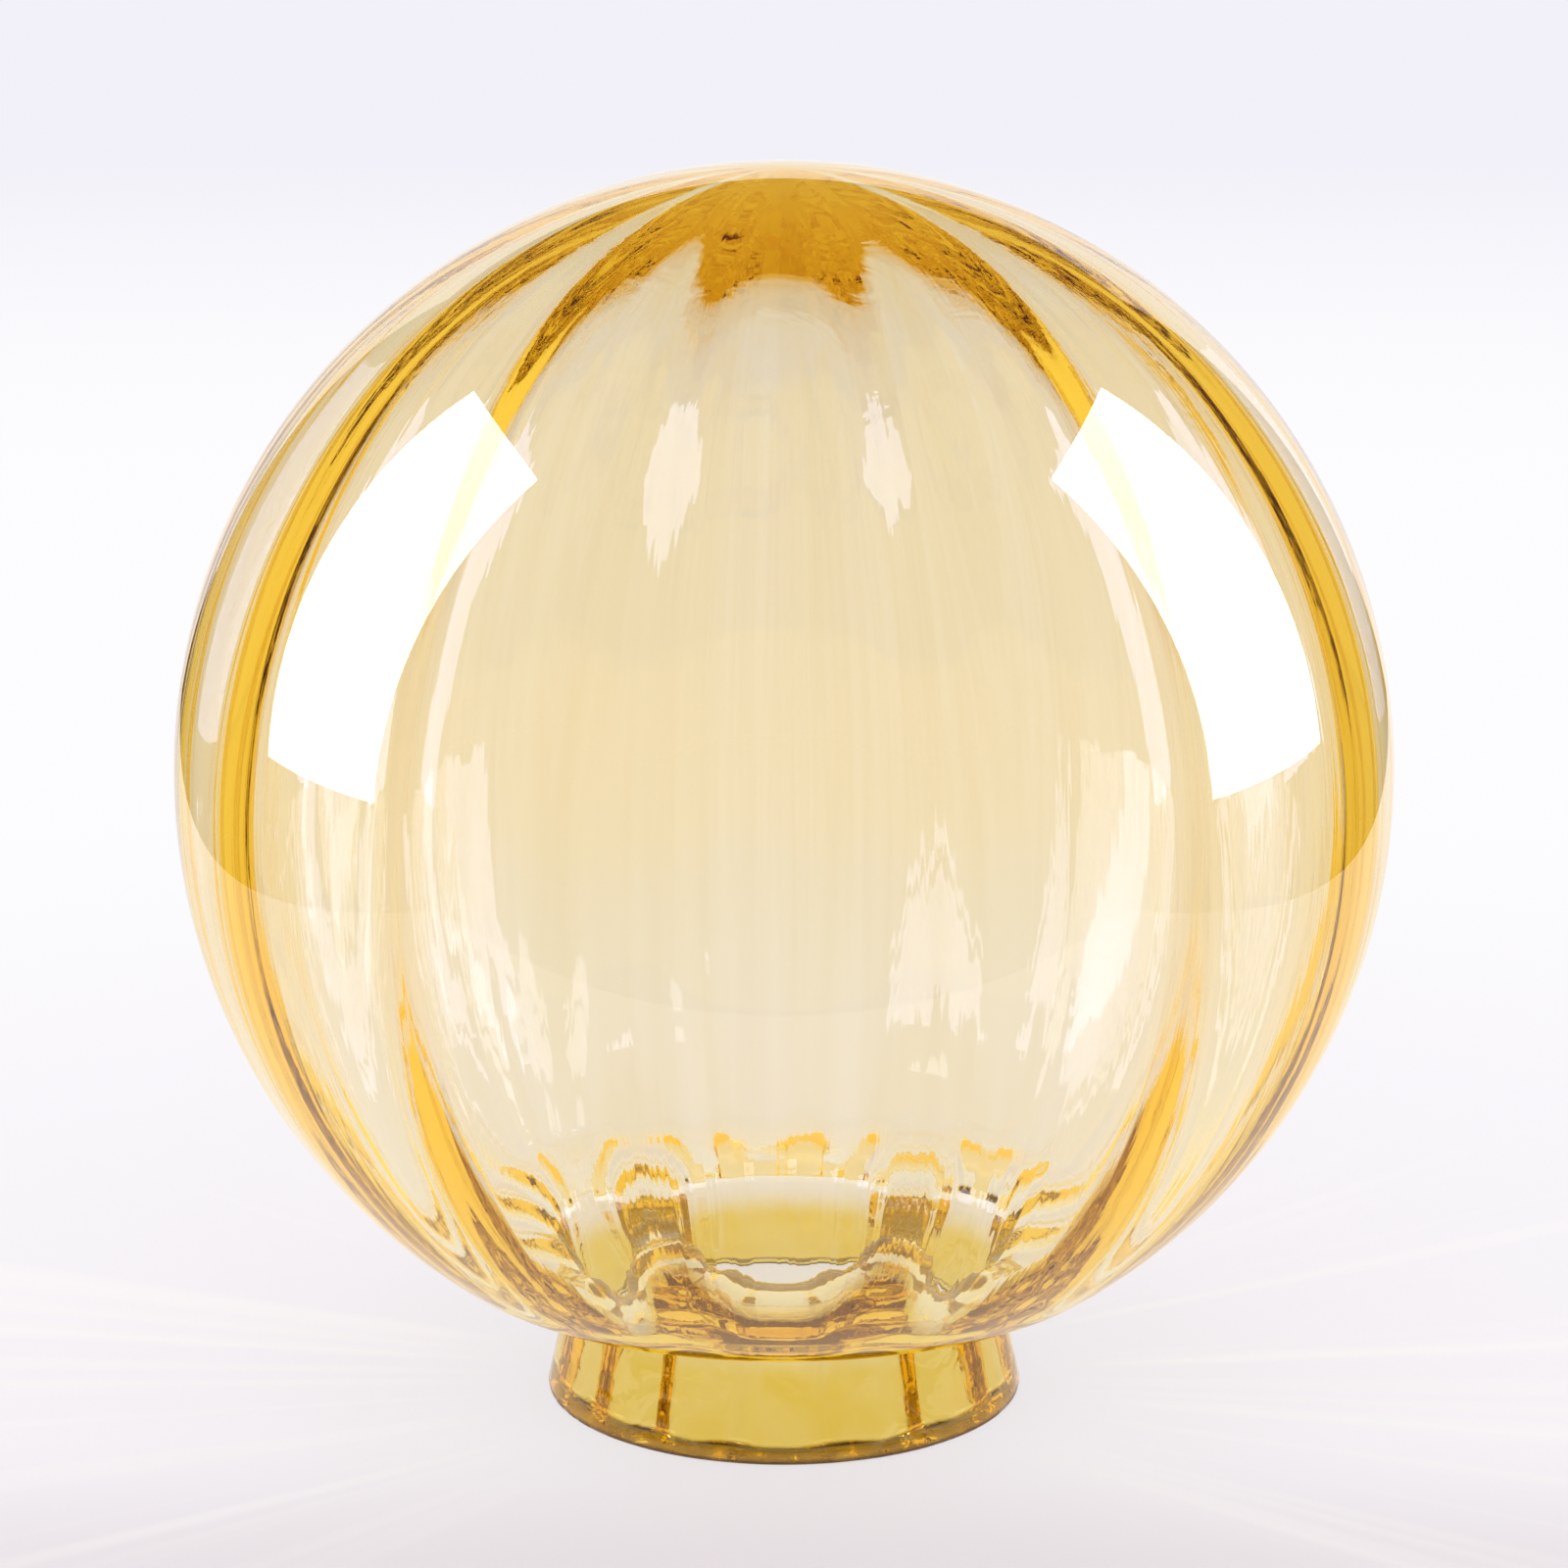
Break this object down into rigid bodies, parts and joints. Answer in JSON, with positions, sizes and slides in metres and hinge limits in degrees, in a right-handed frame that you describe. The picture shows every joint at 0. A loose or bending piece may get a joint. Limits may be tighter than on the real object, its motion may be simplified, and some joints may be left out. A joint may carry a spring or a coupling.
{
  "type": "globe lamp shade",
  "caption": "Round ribbed amber glass globe shade with a closed crown, smooth outside, ribs inside and a short flared fitter neck that it stands on.",
  "frame": {"origin": "centre of the fitter neck's ground rim, on the plane that the shade stands on", "axes": "+Z along the shade's axis, from the neck up to the crown; a thin stretch of wall between two ribs faces -Y"},
  "size_m": [0.254, 0.254, 0.262],
  "materials": {
    "amber_glass": "clear, fire-polished"
  },
  "bodies": {
    "root": {"crown": "amber_glass", "upper_globe": "amber_glass", "middle_globe": "amber_glass", "lower_globe": "amber_glass", "shoulder": "amber_glass", "fitter_neck": "amber_glass"}
  },
  "joints": []
}
